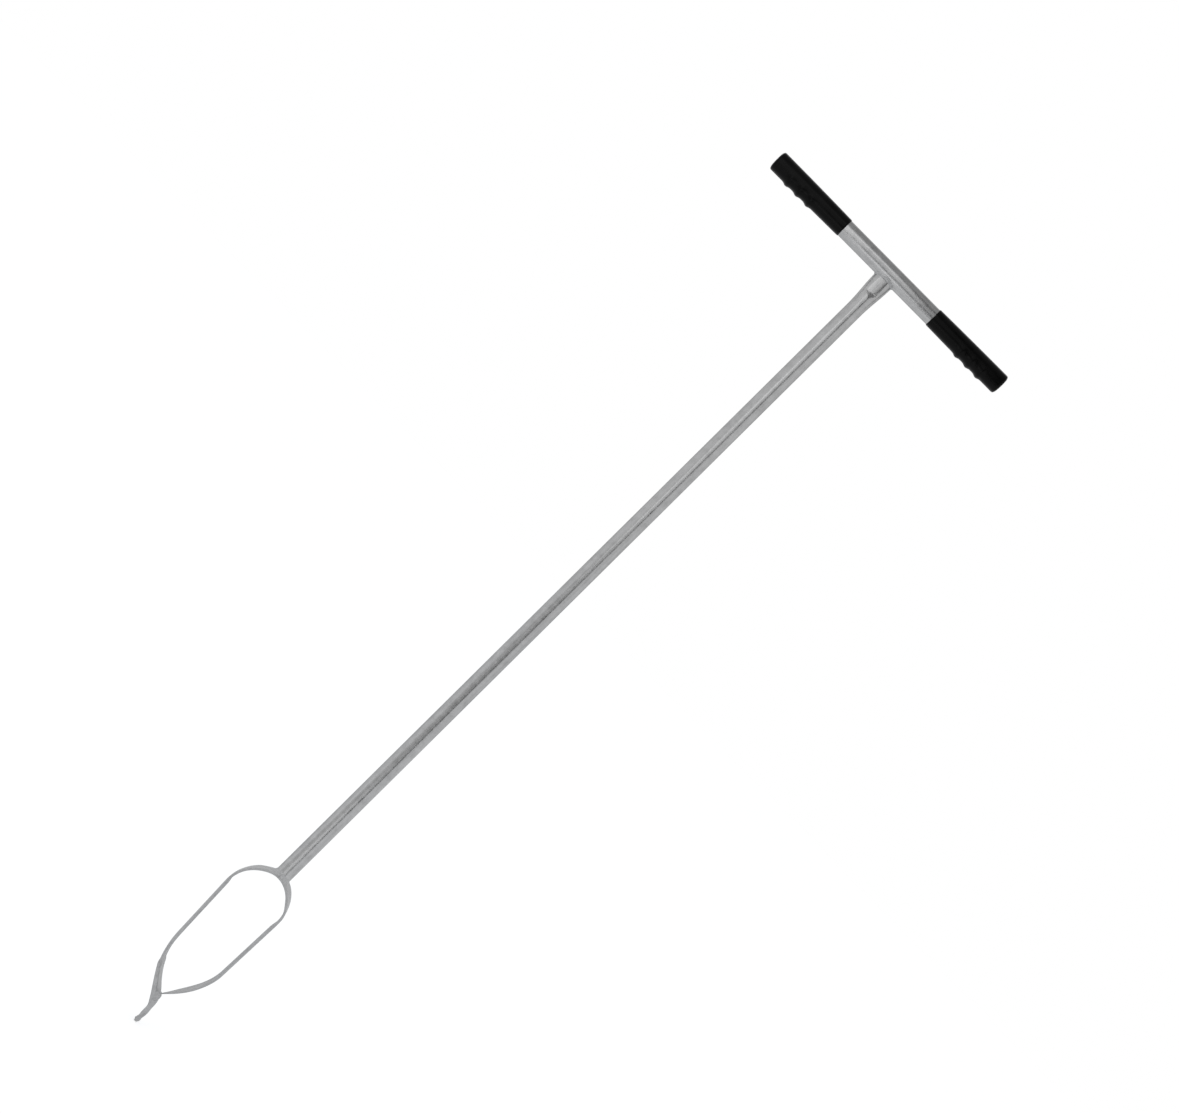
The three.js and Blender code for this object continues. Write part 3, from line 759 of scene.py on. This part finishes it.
def arm_top_height():
    """Height on the left line where the blade ends and the bit's arm starts."""
    heel, end = left_line.data.splines[0].bezier_points[2:4]
    points = interpolate_bezier(heel.co, heel.handle_right, end.handle_left, end.co, 101)
    return points[round(ARM_TOP * 100)].z


arm_top = arm_top_height()
arm_start = distance_at(left_rows, arm_top)
left_tail = (arm_top, ARM_WIDTH, BLADE_THICKNESS)
blade("blade_left_strip", LEFT, left_line, left_rows, arm_start, left_tail)
blade("blade_right_strip", RIGHT, right_line, right_rows, right_rows[-1][0], RIGHT_TAIL)
forged_bit(left_line, left_rows, arm_start)


# The welds


def bead(name, place_at, ripples, flow=1, sides=20, steps=240):
    """A ring of weld along a closed path, with ripples. More flow runs its rims out thinner."""
    bpy.ops.mesh.primitive_torus_add(
        major_segments=steps, minor_segments=sides, major_radius=1, minor_radius=0.2
    )
    ring = started(name)
    for v in ring.data.vertices:
        turn = math.atan2(v.co.y, v.co.x)
        angle = math.atan2(v.co.z, math.hypot(v.co.x, v.co.y) - 1)
        place, facing, size, rise = place_at(turn)
        ahead, behind = place_at(turn + 0.01)[0], place_at(turn - 0.01)[0]
        along = (ahead - behind).normalized()
        out = (facing - along * facing.dot(along)).normalized()
        over = along.cross(out)
        ripple = abs(math.sin(ripples * turn / 2 + 0.9 * math.cos(angle)))
        swell = 1 + 0.07 * (ripple - 0.6)
        height = math.copysign(abs(math.cos(angle)) ** flow, math.cos(angle))
        v.co = place + out * height * rise * swell + over * math.sin(angle) * size * swell
    return ring


def welded(ring, node):
    carried(smooth(ring, 60), weld_steel, "weld_steel", node)


def handle_seam(turn):
    half_width, half_depth = PRESSED_WIDTH / 2, PRESSED_FLATS / 2
    x, y = half_width * math.cos(turn), half_depth * math.sin(turn)
    drop = math.sqrt(HANDLE_RADIUS**2 - y * y)
    wall = Vector((x / PRESSED_WIDTH**2, y / PRESSED_FLATS**2, 0)).normalized()
    tube = Vector((0, y, -drop)).normalized()
    size = HANDLE_SEAM + HANDLE_SEAM_GAIN * abs(y) / half_depth
    return Vector((x, y, HANDLE_HEIGHT - drop)), wall + tube, size, size * HANDLE_SEAM_RISE


def foot_weld():
    """A fillet from the shaft to the crown: hollow at the sides, straight front and back."""
    bpy.ops.mesh.primitive_torus_add(
        major_segments=240, minor_segments=24, major_radius=1, minor_radius=0.2
    )
    ring = started("foot_weld_fillet")
    for v in ring.data.vertices:
        turn = math.atan2(v.co.y, v.co.x)
        angle = math.atan2(v.co.z, math.hypot(v.co.x, v.co.y) - 1)
        ripple = 1 + 0.02 * math.sin(38 * turn)
        side_spread = FOOT_SPREAD - FOOT_LEAN * math.cos(turn)
        spread = side_spread * abs(math.cos(turn)) + FOOT_FRONT * abs(math.sin(turn))
        lift = FOOT_LIFT - FOOT_LEAN * math.cos(turn)
        if abs(angle) <= math.pi / 2:
            arc, straight = (angle + math.pi / 2) / 2, math.sin(turn) ** 2
            out = 1 - math.sin(arc) + straight * (math.sin(arc) - arc / (math.pi / 2))
            up = 1 - math.cos(arc) + straight * (math.cos(arc) - 1 + arc / (math.pi / 2))
            out, up = spread * out * ripple, lift * up * ripple
        else:
            buried = 2 * abs(angle) / math.pi - 1
            out, up = (0, lift) if angle > 0 else (spread, 0)
            out, up = out - (out + MM) * buried, up - (up + MM) * buried
        reach = SHAFT_RADIUS + out
        x, y = reach * math.cos(turn), reach * math.sin(turn)
        v.co = Vector((x, y, crown_top(x) + up))
    welded(ring, "foot_weld")


def arm_seam(turn):
    """Round the joint of the left blade and the arm, on the straight strip."""
    across, through = boxy(turn)
    side = across * (ARM_WIDTH / 2 - ARM_SEAM_INSET)
    place = Vector((arm_start - ARM_SEAM_BACK, side, through * ARM_SEAM_DEPTH))
    facing = Vector((0, across / ARM_WIDTH**2, through / ARM_THICKNESS**2)).normalized()
    return place, facing, ARM_SEAM_SIZE, ARM_SEAM_RISE


def lap_weld():
    """The heap of weld on the bit's inner face that takes the right blade's narrow end."""
    bpy.ops.mesh.primitive_uv_sphere_add(segments=96, ring_count=64, radius=1)
    heap = started("lap_weld_heap")
    middle = distance_at(left_rows, LAP_HEIGHT)
    for v in heap.data.vertices:
        x, y, z = v.co
        place, across = middle + LAP_LENGTH * x, LAP_WIDTH * y
        width, thickness = section_at(at_distance(left_rows, place)[0], arm_top)
        fullness = (1 - abs(2 * across / width) ** BAR_SQUARENESS) ** (1 / BAR_SQUARENESS)
        face = thickness / 2 * fullness - LAP_SINK
        ripple = 1 + 0.05 * math.sin(18 * x + 5 * y * y)
        v.co = Vector((place, across, -face - (LAP_RISE * z**3 * ripple if z > 0 else MM * z)))
    welded(bent(heap, left_rows, left_line), "lap_weld")


welded(bead("handle_weld_bead", handle_seam, 46), "handle_weld")
foot_weld()
welded(bent(bead("arm_weld_bead", arm_seam, 24, 2.2), left_rows, left_line), "arm_weld")
lap_weld()


# The grips


def grip_radius(distance):
    """Radius of a grip at a distance from its closed end, without the ridges."""
    from_lip = GRIP_LENGTH - distance
    radius = GRIP_RADIUS - (GRIP_RADIUS - GRIP_LIP) * (distance / GRIP_LENGTH) ** 2
    if distance < GRIP_END_ROUNDING:
        share = 1 - distance / GRIP_END_ROUNDING
        radius -= GRIP_END_ROUNDING * (1 - math.sqrt(max(1 - share * share, 0)))
    if from_lip < LIP_BEVEL_LENGTH:
        radius -= LIP_BEVEL * (1 - from_lip / LIP_BEVEL_LENGTH)
    return radius


def ridge_at(distance):
    """How far the ridges between the fingers stand out."""
    nearest = min(abs(distance - ridge) for ridge in RIDGES)
    turn = min(nearest / RIDGE_PITCH, 0.5)
    return RIDGE_HEIGHT * ((1 + math.cos(2 * math.pi * turn)) / 2) ** 2


def grip(name, node, facing):
    """A moulded sleeve with a dished end, finger ridges below, a parting line, and a bore."""
    end = HANDLE_LENGTH / 2
    sleeve = straight_bar(name, end - GRIP_LENGTH, end, 96, 150)
    for v in sleeve.data.vertices:
        angle = math.atan2(v.co.z, v.co.y)
        distance = end - v.co.x
        reach = grip_radius(distance) + ridge_at(distance) * max(0, -math.sin(angle))
        if distance > PARTING_START and abs(abs(math.sin(angle)) - 1) < 0.001:
            reach += PARTING_HEIGHT
        v.co.y, v.co.z = reach * math.cos(angle), reach * math.sin(angle)
    editing(sleeve, "FACE")
    pick(lambda f: f.normal.x > 0.99 and f.calc_center_median().x > end - MM)
    for thickness, depth in GRIP_DISH:
        bpy.ops.mesh.inset(thickness=thickness, depth=depth)
    bpy.ops.mesh.select_all(action="DESELECT")
    pick(lambda f: f.normal.x < -0.99 and len(f.verts) > 8)
    bpy.ops.mesh.inset(thickness=GRIP_LIP - LIP_BEVEL - HANDLE_RADIUS - BORE_ROOM, depth=0)
    bore = (GRIP_LENGTH - GRIP_END_WALL, 0, 0)
    bpy.ops.mesh.extrude_region_move(TRANSFORM_OT_translate={"value": bore})
    edited()
    place = Matrix.Translation((HANDLE_SHIFT, 0, HANDLE_HEIGHT))
    sleeve.data.transform(place @ Matrix.Rotation(facing, 4, "Z"))
    carried(smooth(sleeve, 40), grip_rubber, "grip_rubber", node)


grip("grip_right_sleeve", "grip_right", 0)
grip("grip_left_sleeve", "grip_left", math.pi)


for line in (left_line, right_line):
    bpy.data.objects.remove(line)
